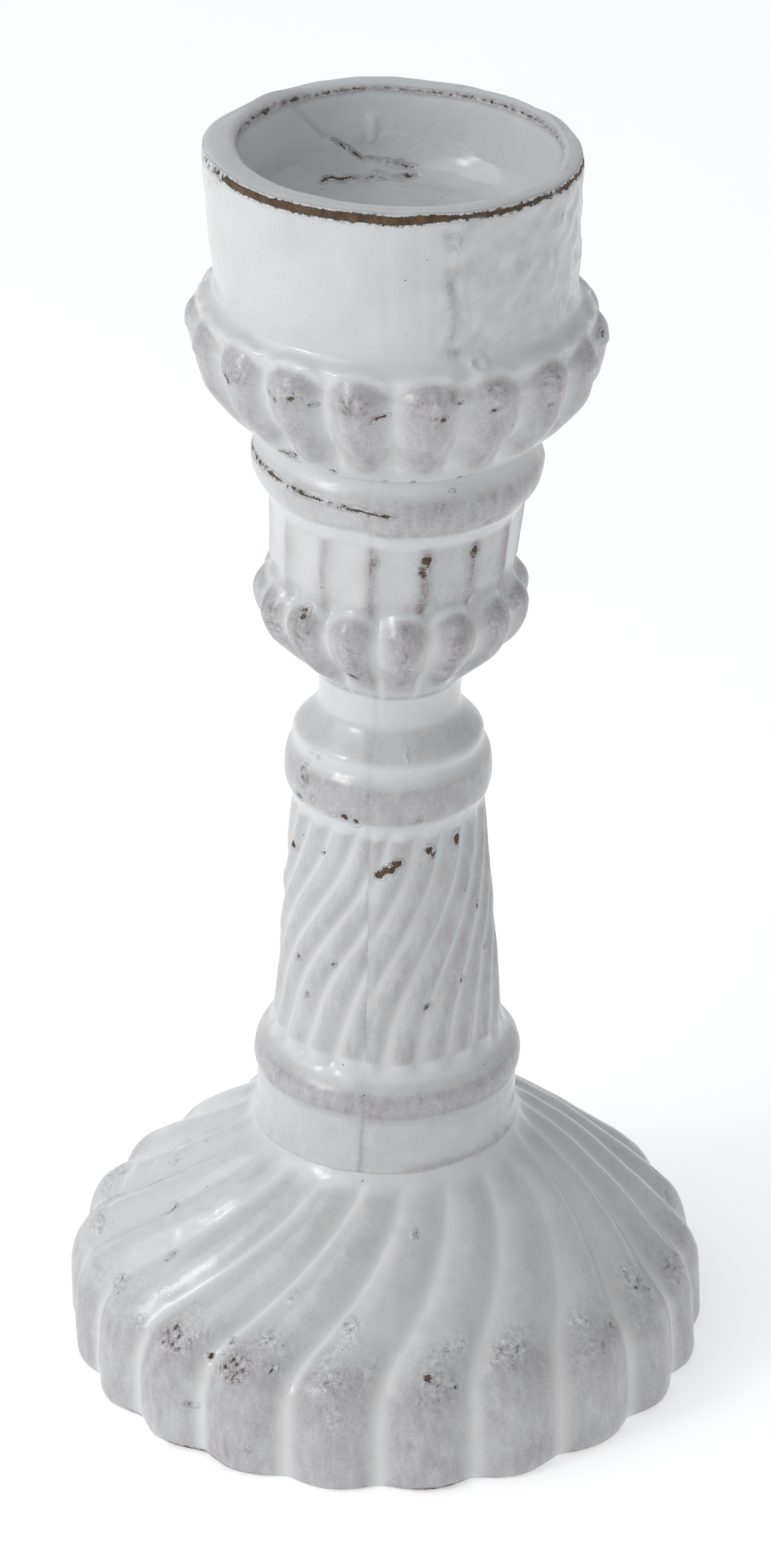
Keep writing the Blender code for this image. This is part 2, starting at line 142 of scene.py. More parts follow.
def drift(points, grain, seed, octaves=2):
    """Smooth unevenness from about -1 to 1, with hills `grain` mm across."""
    size = 40
    total = 0
    for octave in range(octaves):
        values = np.random.default_rng(seed + octave).uniform(-1, 1, (size, size, size))
        x, y, z = np.moveaxis(points, -1, 0) * 2**octave / grain
        spots = np.stack([0.8 * x + 0.6 * y, 0.8 * y - 0.6 * x + 0.3 * z, z - 0.2 * x]) + 400
        low = np.floor(spots).astype(int)
        part = ease(spots - low)
        layer = 0
        for corner in range(8):
            step = np.array([corner & 1, corner >> 1 & 1, corner >> 2 & 1])
            share = [part[k] if step[k] else 1 - part[k] for k in range(3)]
            place = tuple((low[k] + step[k]) % size for k in range(3))
            layer = layer + share[0] * share[1] * share[2] * values[place]
        total = total + layer * 0.5**octave
    return total


def marks(turn, height, radius, spots):
    """How bare the clay is under marks of (degrees, height, half width, half height, strength)."""
    bare = np.zeros(np.broadcast(turn, height).shape)
    for degrees, level, wide, tall, strength in spots:
        across = wrapped(turn - math.radians(degrees)) * radius / wide
        away = across**2 + ((height - level) / tall) ** 2
        bare = np.maximum(bare, strength * np.exp(-(away**2)))
    return bare


def stray_marks(seed, count, low, high, wide, strength):
    """Marks scattered by chance over the side that faces away from the front."""
    chance = np.random.default_rng(seed)
    for _ in range(count):
        size = wide * chance.uniform(0.4, 1)
        place = chance.uniform(85, 275), chance.uniform(low, high)
        yield (*place, size, size * chance.uniform(0.5, 1.2), strength * chance.uniform(0.5, 1))


def placed(turn, height, radius):
    """The x, y and z of points given by their angle, height and radius."""
    return np.stack([radius * np.sin(turn), -radius * np.cos(turn), height], axis=-1)


def section(outside, inside, hidden_step):
    """One line down both faces of a wall, and a column that is 1 on the outside and 0 inside."""
    outside = smooth_line(outside, SHOWN_STEP)
    inside = smooth_line(inside, hidden_step)
    shown = np.r_[np.ones(len(outside)), np.zeros(len(inside))][:, None]
    return np.concatenate([outside, inside]), shown


def spun(line, turns):
    """The angle, height, radius and place of each point of a line spun about the axis."""
    turn, height = np.meshgrid(turns, line[:, 0])
    radius = line[:, 1, None] + 0 * turn
    return turn, height, radius, placed(turn, height, radius)


def let_in(line, turns, depth):
    """The line spun about the axis, each point let in by `depth` along the line's normal.

    The foot's edge on the table is let in level instead, so that it still stands flat.
    """
    run = np.gradient(line, axis=0)
    run /= np.hypot(run[:, 0], run[:, 1])[:, None]
    at_edge = (1 - ease(line[:, 0] / 1.5)) * (line[:, 1] > FOOT_EDGE)
    out = run[:, 0] + (1 - run[:, 0]) * at_edge
    down = run[:, 1] * (1 - at_edge)
    radius = line[:, 1, None] - depth * out[:, None]
    height = line[:, 0, None] + depth * down[:, None]
    return placed(turns + 0 * height, height, radius)


def thrown_off(points):
    """The points moved as the hand-luted pieces lean: the stem to the right, the cup askew."""
    x, y, z = np.moveaxis(points, -1, 0)
    lean = 0.3 * ease((z - 34) / 8) + 0.55 * ease((z - 80) / 30)
    lean += 0.65 * ease((z - 112) / 14) - 0.6 * ease((z - 138) / 32)
    tilt = math.radians(2.3) * ease((z - 112) / 30)
    return np.stack([x + lean, y, z - tilt * (x + 4) * 0.85], axis=-1)


def raise_piece(name, points, whole, glaze, worn):
    """A closed mesh from rows that loop round the wall's section and turns that loop or end."""
    rows, turns = points.shape[:2]
    index = np.arange(rows * turns).reshape(rows, turns)
    wide = np.concatenate([index, index[:, :1]], axis=1) if whole else index
    tall = np.concatenate([wide, wide[:1]])
    corners = [tall[:-1, :-1], tall[:-1, 1:], tall[1:, 1:], tall[1:, :-1]]
    faces = np.stack(corners, axis=-1).reshape(-1, 4).tolist()
    if not whole:
        faces += [index[:, 0].tolist(), index[::-1, -1].tolist()]
    mesh = bpy.data.meshes.new(name)
    mesh.from_pydata((points.reshape(-1, 3) * MM).tolist(), [], faces)
    for field, values in (("glaze", glaze), ("worn", worn)):
        layer = mesh.attributes.new(field, "FLOAT", "POINT")
        layer.data.foreach_set("value", np.clip(values, 0, 1).astype(np.float32).ravel())
    mesh.shade_smooth()
    mesh.set_sharp_from_angle(angle=math.radians(55))
    piece = bpy.data.objects.new(name, mesh)
    bpy.context.scene.collection.objects.link(piece)
    return piece


class Socket:
    """One output of a node. Sums on it add Math nodes, and `node` adds any other node.

    `settings` are the new node's properties, with "stops" for a ramp's places and colours, and
    `inputs` are its sockets by name or number.
    """

    def __init__(self, tree, link=None):
        self.tree = tree
        self.link = link

    def node(self, kind, settings=None, inputs=None, output=0):
        made = self.tree.nodes.new("ShaderNode" + kind)
        for name, value in (settings or {}).items():
            if name != "stops":
                setattr(made, name, value)
                continue
            elements = made.color_ramp.elements
            for end, (place, colour) in ((0, value[0]), (-1, value[-1])):
                elements[end].position = place
                elements[end].color = (*colour, 1)
            for place, colour in value[1:-1]:
                elements.new(place).color = (*colour, 1)
        for name, value in (inputs or {}).items():
            if isinstance(value, Socket):
                self.tree.links.new(value.link, made.inputs[name])
            else:
                made.inputs[name].default_value = value
        return Socket(self.tree, made.outputs[output] if made.outputs else None)

    def sum(self, operation, first, second):
        return self.node("Math", {"operation": operation}, {0: first, 1: second})

    def __add__(self, other):
        return self.sum("ADD", self, other)

    def __sub__(self, other):
        return self.sum("SUBTRACT", self, other)

    def __rsub__(self, other):
        return self.sum("SUBTRACT", other, self)

    def __mul__(self, other):
        return self.sum("MULTIPLY", self, other)

    __radd__ = __add__
    __rmul__ = __mul__

    def rise(self, low, high):
        """0 below low and 1 above high, with a smooth slope between."""
        settings = {"interpolation_type": "SMOOTHSTEP"}
        return self.node("MapRange", settings, {0: self, 1: low, 2: high})

    def mix(self, low, high):
        """low where this is 0 and high where it is 1, both colours."""
        return self.node("Mix", {"data_type": "RGBA"}, {0: self, 6: low, 7: high}, 2)


def grain(place, size, detail=2.0, roughness=0.5):
    """Noise from 0 to 1 whose blotches are about `size` mm across."""
    inputs = {"Vector": place, "Scale": 1 / (size * MM), "Detail": detail, "Roughness": roughness}
    return place.node("TexNoise", {}, inputs)


def milk_glaze():
    """Tin glaze over brown clay: colour and gloss follow how thick it lies and where it broke."""
    material = bpy.data.materials.new("milk_glaze")
    material.use_nodes = True
    tree = material.node_tree
    tree.nodes.clear()
    start = Socket(tree)
    place = start.node("TexCoord", output="Object")
    thick = start.node("Attribute", {"attribute_name": "glaze"}, output="Fac")
    worn = start.node("Attribute", {"attribute_name": "worn"}, output="Fac")

    # How thick the glaze lies: clouds and speckle, upright streaks where it ran thin, and fine
    # cracks where it is worn.
    tall = start.node("Mapping", {}, {"Vector": place, "Scale": (1, 1, 0.35)})
    streak = grain(tall, 1.3, 3, 0.6)
    cloud = grain(place, 3.2, 3)
    speckle = grain(place, 0.4, 3, 0.7)
    crinkle = grain(place, 0.75, 2)
    cracked = worn.rise(0.06, 0.5)
    fleck = grain(place, 0.8, 4, 0.72)
    thin = (1.15 - thick).rise(0.1, 0.9)
    thick = thick + (cloud - 0.5) * (1.25 - thick) * 0.4 + (speckle - 0.5) * (0.1 + thin * 0.6)
    thick = thick + (streak - 0.5) * thin * 0.9 + (crinkle - 0.5) * cracked * 1.3

    # Bare clay shows where a coarse noise rises over a bar that wear lowers. Round it the glaze is
    # grey and crackled, with white beads.
    bar = 0.85 - worn * 0.44 - worn.rise(0.8, 1.0) * 0.3
    bare = (fleck - bar).rise(0.0, 0.04)
    halo = (fleck - bar).rise(-0.13, 0.01)
    bead = grain(place, 0.55, 2).rise(0.56, 0.68) * halo
    cells = {"Vector": place, "Scale": 1 / (2.6 * MM), "Randomness": 1.0}
    near = start.node("TexVoronoi", {}, cells, "Distance")
    pick = start.node("TexVoronoi", {}, cells, "Color")
    pick = start.node("SeparateColor", {}, {0: pick})
    pinhole = (1 - near.rise(0.02, 0.055)) * pick.rise(0.84, 0.86)
    bare = start.sum("MAXIMUM", bare, pinhole * 0.75)

    thick = thick - halo * 0.34 + bead * 0.4
    white = thick.node("ValToRGB", {"stops": [
        (0.0, (0.15, 0.11, 0.085)),
        (0.16, (0.27, 0.24, 0.23)),
        (0.34, (0.37, 0.352, 0.36)),
        (0.58, (0.455, 0.45, 0.46)),
        (0.82, (0.55, 0.562, 0.57)),
        (1.0, (0.62, 0.64, 0.65)),
    ]}, {0: thick})
    patchy = grain(place, 1.4, 3)
    clay = patchy.node("ValToRGB", {"stops": [
        (0.3, (0.045, 0.024, 0.011)),
        (0.7, (0.13, 0.078, 0.04)),
    ]}, {0: patchy})
    colour = bare.mix(white, clay)

    ripple = grain(place, 1.8, 2)
    peel = grain(place, 0.35, 1)
    relief = ripple * 0.022 + peel * 0.005 - bare * 0.1 - halo * 0.07 + bead * 0.08
    relief = relief + speckle * (0.01 + thin * 0.02) + crinkle * cracked * 0.3
    bump = start.node("Bump", {}, {"Strength": 1.0, "Distance": MM, "Height": relief})
    gloss = 0.2 + bare * 0.5 + halo * 0.08 + thin * 0.05
    shader = start.node("BsdfPrincipled", {}, {
        "Base Color": colour, "Roughness": gloss, "Normal": bump, "IOR": 1.52,
    })
    start.node("OutputMaterial", {}, {"Surface": shader})
    return material


def glazed(piece, *nodes):
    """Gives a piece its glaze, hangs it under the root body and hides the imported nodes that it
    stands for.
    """
    piece.data.materials.append(MILK_GLAZE)
    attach(piece, "root")
    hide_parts(*nodes)


MILK_GLAZE = milk_glaze()

line, shown = section(FOOT_OUTSIDE, FOOT_INSIDE, FOOT_HIDDEN_STEP)
turns = np.linspace(0, math.tau, FOOT_TURNS, endpoint=False)
turn, height, radius, spot = spun(line, turns)
hollow = 1 - shown

# The grooves rise straight, then swing round with the climb over the dome.
climb = height - FOOT_SWIRL_START
climb = (climb + np.hypot(climb, 2)) / 2
path = FOOT_GROOVE + FOOT_SWIRL * climb + 0.015 * drift(spot, 22, 5, 1)
for middle, wide, shift in FOOT_WARPS:
    path = path + shift * hill(wrapped(turn) - middle, wide)
off_groove = np.abs(np.sin((turn - path) / FOOT_PITCH * math.pi))
to_groove = np.arcsin(off_groove) / math.pi * FOOT_PITCH * radius
lobe = np.interp(height, FOOT_GROOVE_HEIGHTS, FOOT_GROOVE_DEPTHS)
lobe = lobe * (1 - np.hypot(off_groove, 0.2))

# At the left a run of thick glaze half fills the grooves. The rest of the wear is a broken line of
# crackle at the knee of each lobe, with pits round it.
smear = within(wrapped(turn), math.radians(-100), math.radians(-62), 0.2)
smear = smear * within(height, 15, 29, 4)
foot_marks = [
    (-66, 15.5, 2.6, 1.6, 0.45), (-44, 15, 3.6, 1.8, 0.55), (-30, 14.5, 3.4, 2.0, 0.62),
    (-10, 15, 2.2, 1.5, 0.5), (-9, 11, 1.6, 2.4, 0.38), (10, 15, 2.6, 1.5, 0.5),
    (25, 16.5, 2.8, 1.7, 0.5), (43, 17, 1.8, 1.4, 0.42), (49, 15, 1.8, 1.6, 0.45),
    (62, 17, 2.4, 2.2, 0.5), (-8, 20, 1.4, 1.2, 0.42), (-23, 22, 0.9, 0.8, 0.5),
    (-73, 23, 1.2, 0.9, 0.6), (-60, 20.5, 1.1, 0.8, 0.6), (9, 28, 0.6, 0.5, 0.7),
    (-38, 7.5, 1.5, 0.45, 0.85), (-25, 4.3, 0.8, 0.4, 0.75), (-36, 0.3, 9, 0.6, 0.8),
    (10, 0.3, 4, 0.5, 0.8), (-52, 0.4, 3, 0.5, 0.7), (78, 14.5, 2.4, 1.8, 0.45),
    (-36, 15, 0.5, 0.5, 0.95), (-29, 13.5, 0.5, 0.6, 0.9), (-33, 17, 0.6, 0.4, 0.85),
    (-22, 15.5, 0.6, 0.5, 0.9), (-45, 16, 0.7, 0.5, 0.9), (8, 15.5, 0.6, 0.6, 0.9),
    (13, 14.5, 0.5, 0.4, 0.85), (27, 17, 0.6, 0.4, 0.85), (-68, 16, 0.7, 0.5, 0.85),
    *stray_marks(31, 22, 14, 17, 3.4, 0.55),
    *stray_marks(32, 9, 18, 28, 1.3, 0.6),
    *stray_marks(33, 6, 0, 2, 4, 0.75),
]
worn = marks(turn, height, radius, foot_marks) * shown
knee = within(height, 14, 18, 3) * ease(1.6 * off_groove) * shown
worn = np.maximum(worn, knee * np.clip(0.18 + 0.24 * drift(spot, 4, 20), 0, 0.42))
ring = (1 - ease(height / 1.2)) * (radius < 40.6)

# Unevenness from the press, more where the thick glaze ran, and thumb marks in the hollow.
press = 0.16 * drift(spot, 9, 11) + 0.05 * drift(spot, 2.4, 12)
press = press + smear * 0.13 * drift(spot, 1.9, 13)
thumbed = 0.5 * drift(spot, 11, 14) + 0.15 * drift(spot, 3, 15)
depth = (lobe + press) * shown + hollow * thumbed
depth = depth * ease(np.abs(line[:, 0, None]) / 0.4 + shown) + worn * WEAR_DEPTH

# Glaze: white in the grooves and up against the stem, thin on the skirt's crests and its edge. The
# hollow took only a thin coat, and the ring that the foot stands on was wiped almost bare.
pool = hill(to_groove, 1.15) * within(height, 0.6, 33, 1)
collar_pool = ease((height - 30.4) / 1.5)
glaze = 0.54 + 0.24 * ease((height - 14) / 6) + 0.1 * drift(spot, 7, 16)
glaze = glaze + (0.06 - 0.06 * off_groove) + smear * 0.3 - 0.3 * (1 - ease(height / 1.1))
glaze = glaze + (1 - glaze) * np.maximum(pool, collar_pool)
glaze = shown * glaze + hollow * (0.5 + 0.3 * drift(spot, 8, 17))
worn = np.maximum(worn, hollow * (0.25 + 0.3 * drift(spot, 9, 18)))
worn = np.maximum(worn, ring * (0.75 + 0.2 * drift(spot, 5, 19)))
points = thrown_off(let_in(line, turns, depth))
points[..., 2] = np.maximum(points[..., 2], 0)
foot = raise_piece("glazed_foot", points, True, glaze, worn)
glazed(foot, "foot")

# ---- Coil in the foot joint ----
# A roll of soft brown clay pressed by thumb over the joint of foot and stem, from inside. No glaze
# reaches it, so it stays matt, with the dents of the thumb still in it.

JOINT_COIL_HEIGHT = 5.2
JOINT_COIL_THICKNESS = 2.2
COIL_TURNS = 150


def bare_clay():
    """Fired brown earthenware: matt, sandy and a little uneven in its colour."""
    material = bpy.data.materials.new("bare_clay")
    material.use_nodes = True
    tree = material.node_tree
    tree.nodes.clear()
    start = Socket(tree)
    place = start.node("TexCoord", output="Object")
    shade = grain(place, 2.6, 4, 0.6)
    sand = grain(place, 0.4, 2, 0.6)
    colour = shade.node("ValToRGB", {"stops": [
        (0.25, (0.075, 0.038, 0.02)),
        (0.5, (0.13, 0.072, 0.04)),
        (0.8, (0.2, 0.125, 0.08)),
    ]}, {0: shade + (sand - 0.5) * 0.3})
    relief = sand * 0.06 + shade * 0.12
    bump = start.node("Bump", {}, {"Strength": 1.0, "Distance": MM, "Height": relief})
    shader = start.node("BsdfPrincipled", {}, {
        "Base Color": colour, "Roughness": 0.78 + sand * 0.2, "Normal": bump, "IOR": 1.45,
    })
    start.node("OutputMaterial", {}, {"Surface": shader})
    return material


def press_coil(name, node, seed):
    """A half-round coil round the bore that a CAD coil fills, dented by a thumb."""
    low, high = (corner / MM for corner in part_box(node))
    middle, back = (low.z + high.z) / 2, high.x + 0.25
    reach, thick = JOINT_COIL_HEIGHT / 2, JOINT_COIL_THICKNESS
    arc = np.linspace(0, math.pi, 14)
    face = np.stack([middle + reach * np.cos(arc), back - thick * np.sin(arc)], axis=1)
    up = np.linspace(middle - reach, middle + reach, 6)[1:-1]
    line = np.concatenate([face, np.stack([up, np.full(len(up), back)], axis=1)])
    turns = np.linspace(0, math.tau, COIL_TURNS, endpoint=False)
    turn, height, radius, spot = spun(line, turns)
    dents = 0.5 * np.abs(np.sin(5.5 * turn + seed)) + 0.35 * drift(spot, 3, seed)
    dents = dents * (radius < back - 0.2)
    points = thrown_off(placed(turn, height, radius + dents * 0.8))
    none = np.zeros(turn.shape)
    coil = raise_piece(name, points, True, none, none)
    coil.data.materials.append(BARE_CLAY)
    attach(coil, "root")
    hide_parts(node)


BARE_CLAY = bare_clay()
press_coil("pressed_foot_coil", "foot_joint_coil", 41)

# ---- Stem ----
# Two half mouldings of earthenware, luted edge to edge with slip, so a thin seam runs up the front
# and the ribs on its two sides don't quite meet. From the foot up: a collar, a ring, a column of
# climbing ribs, a knop, a neck, a lobed bulb, a drum of shallow panels and the upper ring.

STEM_OUTSIDE = [
    (32.8, 17.2), (33.3, 17.42), (34, 17.35), (34.8, 17.05), (36, 16.95), (38, 16.95),
    (39.4, 16.85), (40.1, 16.7), (40.8, 17),
    (41.7, 17.4), (42.7, 17.52), (43.8, 17.3), (44.8, 16.7), (45.6, 15.9), (46.4, 15.35),
    (47.6, 15.05), (51.9, 14.68), (59.7, 14.05), (67, 13.52), (74, 12.95), (79.4, 12.5),
    (80.7, 12.42), (81.6, 12.6), (82.5, 13.05), (84, 13.32), (85.8, 13.25), (87.2, 12.95),
    (88.2, 12.35), (88.9, 12.05), (89.6, 12.2), (90.3, 12.05), (91.3, 11.2), (92.4, 10.15),
    (93.6, 9.35), (95.2, 9.05), (96.8, 9.1), (98.2, 9.4), (99.2, 10.1), (100.2, 11.1),
    (101.5, 12.5), (103.2, 14.3), (105, 16), (106.9, 17.1), (108.5, 17.6), (109.8, 17.67),
    (111, 17.3), (112, 16.6), (112.8, 15.95), (113.8, 15.75), (116, 15.85), (119, 16.05),
    (122.4, 16.3), (123.5, 16.25), (124.3, 16.5), (125.3, 17.3), (126.5, 17.95), (127.8, 18.3),
    (129, 18.35), (130.2, 18.05), (131.2, 17.55), (132, 17.2), (132.7, 17.05),
]
STEM_INSIDE = [
    (132.6, 16), (132.4, 14.6), (131, 14.4), (127.4, 14.3), (124, 13), (121, 12.2), (113, 12.2),
    (110, 12.4), (107, 11.8), (103, 8.6), (100.5, 5.8), (98, 5.1), (94.6, 5), (91, 5.3),
    (87, 6.6), (81.5, 8.3), (64, 9.8), (48, 11.1), (44, 12.2), (41, 13), (35, 13), (33.2, 13.1),
    (32.9, 14.2), (32.8, 15.8),
]
STEM_SEAM = math.radians(-11.2)
STEM_TURNS = 116
STEM_HIDDEN_STEP = FOOT_HIDDEN_STEP * 1.4
RIBS = 20
RIB_DEPTH = 0.85
FLUTES = 15
PANEL_ARRIS = math.radians(13.3)
PANEL_DEPTH = 0.5
BULB_GROOVE = math.radians(-6.7)
BULB_DEPTH = 1.75
BULB_TOP = 112.2

# The grooves of each half, as rib_path takes them: the halves came out of two moulds.
RIGHT_RIBS = (-0.5, 0.9, 28, 52, 27)
LEFT_RIBS = (-62.5, 1.13, 27, 55, 24)

# From and to the heights where the glaze lies thick in a hollow between two mouldings.
STEM_POOLS = [
    (46.2, 47.8), (80.2, 81.6), (88.4, 90), (94.5, 98), (123.3, 124.3), (131.3, 133),
]


def rib_path(height, groove, steady, curl, start, span):
    """The angle of a groove between ribs, `groove` degrees at height 50.

    It turns `steady` degrees for each millimetre up, and `curl` degrees more in the `span` of
    height above `start`.
    """
    return np.radians(groove + steady * (height - 50) + curl * ease((height - start) / span))


stem_marks = [
    (-74, 74.5, 1.6, 0.8, 1), (-5, 74.9, 0.9, 0.7, 1), (0, 75.8, 1.1, 0.7, 1),
    (5, 76.8, 1.0, 0.7, 1), (25, 78, 0.9, 0.8, 0.95), (28, 77.2, 0.6, 0.6, 0.95),
    (46, 78.4, 0.9, 1.3, 0.95), (45, 58, 0.5, 0.6, 0.95), (22, 55.8, 0.8, 0.7, 0.9),
    (60, 67.5, 0.5, 0.6, 0.9), (-43, 76, 0.45, 0.45, 0.95), (-56, 60, 0.45, 0.45, 0.9),
    (-47, 55.5, 0.45, 0.45, 0.95), (-31, 61, 0.45, 0.45, 0.95), (-25, 82.6, 0.8, 0.7, 1),
    (-19, 82, 0.9, 0.8, 0.75), (-30, 82.4, 3.5, 0.6, 0.4), (-55, 86.5, 1.6, 2.2, 0.55),
    (-50, 89.5, 1.4, 0.6, 0.5), (-60, 83, 1, 0.7, 0.8), (18, 83, 0.4, 0.9, 0.6),
    (12, 91.5, 0.4, 1, 0.4), (-46, 84, 0.6, 0.8, 0.5), (70, 60, 0.7, 0.8, 0.5),
    (14, 121, 1.0, 0.9, 0.95), (12.5, 119.6, 0.9, 1, 0.8), (37, 121.2, 0.8, 1.3, 0.85),
    (-9.5, 120.8, 0.7, 1.1, 0.5), (-10.5, 117.5, 0.6, 2.4, 0.2), (13.5, 116.5, 0.8, 2.4, 0.2),
    (22, 131, 0.5, 0.4, 0.8), (47, 125.6, 3.5, 0.6, 0.4), (-41, 112, 0.7, 1.1, 0.8),
    (-20, 108, 1.8, 3.2, 0.3), (-38, 108, 1.6, 3, 0.34), (5, 107, 1.8, 3, 0.28),
    (-20, 103.6, 0.8, 0.6, 0.95), (48, 110, 1, 1.6, 0.45), (68, 111, 1.2, 2, 0.45),
    (-60, 108, 1.6, 3.5, 0.4), (28, 107.5, 1.6, 2.6, 0.24), (-8, 36, 0.8, 1.4, 0.2),
    (-88, 42.5, 2, 1.6, 0.5), (-60, 42, 1.6, 1.2, 0.3), (30, 42.5, 4, 0.8, 0.16),
    *stray_marks(51, 10, 72, 80, 1.1, 0.8),
    *stray_marks(52, 12, 103, 112, 1.3, 0.6),
    *stray_marks(53, 8, 118, 122, 1.0, 0.7),
    *stray_marks(54, 8, 40, 46, 1.4, 0.5),
]

line, shown = section(STEM_OUTSIDE, STEM_INSIDE, STEM_HIDDEN_STEP)
for side, start, slid, ribs in (
    ("right", STEM_SEAM, -0.2, RIGHT_RIBS),
    ("left", STEM_SEAM + math.pi, 0.25, LEFT_RIBS),
):
    turns = start + np.linspace(0, math.pi, STEM_TURNS)
    turn, height, radius, spot = spun(line, turns)
    around = wrapped(turn)

    # The halves slid a little on each other as they were joined. The slip fades out at the seam,
    # where they were smoothed together.
    off_seam = np.abs(np.sin(turn - STEM_SEAM)) * radius
    seam = hill(off_seam, 0.35)
    joined = hill(off_seam, 0.8)
    level = height + slid * (1 - joined)

    off_rib = np.abs(np.sin((turn - rib_path(level, *ribs)) * RIBS / 2))
    ribbed = within(level, 48.2, 79.3, 2.2)
    off_lobe = np.abs(np.sin((turn - BULB_GROOVE) * FLUTES / 2))
    lobed = within(level, 102.5, BULB_TOP, 3.2)
    off_arris = np.abs(np.sin((turn - PANEL_ARRIS) * FLUTES / 2))
    panelled = within(level, 113.4, 122.4, 1)
    arc = hill(level - BULB_TOP - 0.9 * off_lobe, 0.5)

    # Ribs, lobes and panels, pressed a little unevenly.
    lobe = RIB_DEPTH * ribbed * (1 - np.hypot(off_rib, 0.22) ** 1.3)
    lobe += (0.4 * RIB_DEPTH * ribbed - lobe) * joined
    lobe += BULB_DEPTH * lobed * (1 - np.hypot(off_lobe, 0.16))
    lobe += PANEL_DEPTH * panelled * off_arris**0.8 - 0.2 * arc
    press = 0.14 * drift(spot, 7, 61) + 0.045 * drift(spot, 2.2, 62) + 0.03 * seam

    # Wear: the marks, and a bare line that slants down the upper ring from the left.
    worn = marks(turn, height, radius, stem_marks) * shown
    worn_level = 129.6 - 1.2 * ease((around + 1.3) / 1.3)
    broken = hill(height - worn_level, 0.45) * within(around, -1.75, -0.06, 0.1)
    broken = broken * np.clip(0.95 + 0.3 * drift(spot, 2.2, 63), 0, 1)
    behind = within(height, 129.3, 130.1, 0.7) * np.clip(0.9 * drift(spot, 6, 64), 0, 0.8)
    worn = np.maximum(worn, np.maximum(broken, behind * (np.cos(turn) < 0.1)) * shown)
    thumbed = 0.35 * drift(spot, 8, 65) * within(height, 34.5, 131, 1)
    depth = (lobe + press) * shown + (1 - shown) * thumbed + worn * WEAR_DEPTH

    # Glaze: thick in the grooves and hollows, thin on the crests, and greyer towards the right as
    # painted shade.
    right = ease((around + 0.5) / 0.9)
    pool = hill(off_rib, 0.55) * ribbed
    pool = np.maximum(pool, hill(off_lobe, 0.3) * within(level, 99, 113, 1.5))
    pool = np.maximum(pool, 0.9 * arc)
    for low, high in STEM_POOLS:
        pool = np.maximum(pool, 0.95 * within(height, low, high, 0.9))
    glaze = 0.8 + 0.08 * drift(spot, 6, 66) - 0.3 * within(height, 41.8, 44.2, 1)
    glaze = glaze - 0.26 * within(height, 82.8, 86.8, 0.9) - 0.42 * lobed * off_lobe
    # The right-hand share of these greys on the upper ring, the ribs and the panels is painted
    # shade.
    glaze = glaze - (0.1 + 0.28 * right) * within(height, 125.5, 129.5, 1.2)
    glaze = glaze - (0.12 + 0.12 * right) * ribbed - 0.2 * right * within(height, 114, 122, 1)
    edge = (0.12 + 0.24 * ease((around + 0.9) / 0.6)) * hill(off_arris, 0.4)
    glaze = glaze + (0.15 * off_arris - edge) * panelled
    # A thin dark line of painted shadow under the collar's bottom step, on the right.
    glaze = glaze - 0.45 * hill(height - 33.8, 0.3) * within(around, 0.3, 1.2, 0.3)
    # A dark line of painted shade under the swell of the bulb, just above the neck.
    glaze = glaze - 0.3 * hill(height - 98.7, 0.35)
    low_seam = 0.35 - 0.25 * ease((height - 40) / 2)
    glaze = glaze + (1 - glaze) * pool - low_seam * seam
    glaze = shown * glaze + (1 - shown) * (0.35 + 0.3 * drift(spot, 6, 67))
    worn = np.maximum(worn, (1 - shown) * (0.5 + 0.4 * drift(spot, 7, 68)))
    points = let_in(line, turns, depth)
    points[..., 2] += slid * within(height, 38, 128, 4) * (1 - joined)
    half = raise_piece(f"glazed_stem_{side}", thrown_off(points), False, glaze, worn)
    glazed(half, f"stem_shell_{side}")

# ---- Coil in the bowl joint ----
# The same roll of soft brown clay, pressed by thumb over the joint of stem and bowl before the
# cup's floor closed it off. No glaze reaches it.

press_coil("pressed_bowl_coil", "bowl_joint_coil", 43)

# ---- Candle cup ----
# Two half mouldings of earthenware luted into a lobed bowl with a plain wall above. The wall is
# smooth on the left and pitted right of the seam, and the glaze has run off the rim's sharp outer
# edge, which shows as a ragged brown line.

CUP_OUTSIDE = [
    (132.4, 17.3), (132.9, 18), (133.8, 19.1), (135.2, 20.7), (137, 22.3), (139, 24),
    (141, 25.2), (143, 25.85), (144.7, 26.15), (145.7, 26.3), (146.8, 26.2), (148, 25.65),
    (149.1, 24.7), (149.9, 23.7), (150.4, 23), (151, 22.6), (152, 22.5), (154, 22.6),
    (156.7, 22.8), (163, 23.1), (168, 23.38), (169.3, 23.42), (169.85, 23.2), (170.1, 22.6),
    (170.15, 21.2), (169.95, 20.4), (169.4, 19.9), (168.4, 19.6), (166, 19.2), (162.5, 18.6),
    (159.5, 18.05), (158, 17.9),
]
CUP_INSIDE = [
    (154.4, 17.9), (150, 19.6), (145.5, 21), (141, 19.6), (137.5, 16.6), (135, 14.6),
    (133, 14.4), (132.4, 14.9), (132.3, 16.4),
]
CUP_SEAM = math.radians(20)
CUP_TURNS = 186
CUP_HIDDEN_STEP = STEM_HIDDEN_STEP
BOWL_LOBES = 18
BOWL_GROOVES = {"left": math.radians(-1.1), "right": math.radians(18.4)}
BOWL_DEPTH = 2.1
BLISTER_TURN = math.radians(25.2)
BLISTER_LEVEL = 150.4
LUMP_TURN = math.radians(16.5)
LUMP_LEVEL = 148
PITTED_TURN = 0.31
WIPED_DEGREES = (-2, 8, 13)
OUTER_EDGE = 169.35
INNER_EDGE = 169.5

# The opening sits off the middle of the wall, and the rim stands up a little at the front.
OPENING_SHIFT = 0.8
FRONT_LIFT = 0.4

# The torn line in the cup's corner, as it climbs from the floor up the wall.
TEAR_DEGREES = [172, 193, 203, 210, 222]
TEAR_HEIGHTS = [160.1, 160.7, 162.9, 164.2, 168.6]

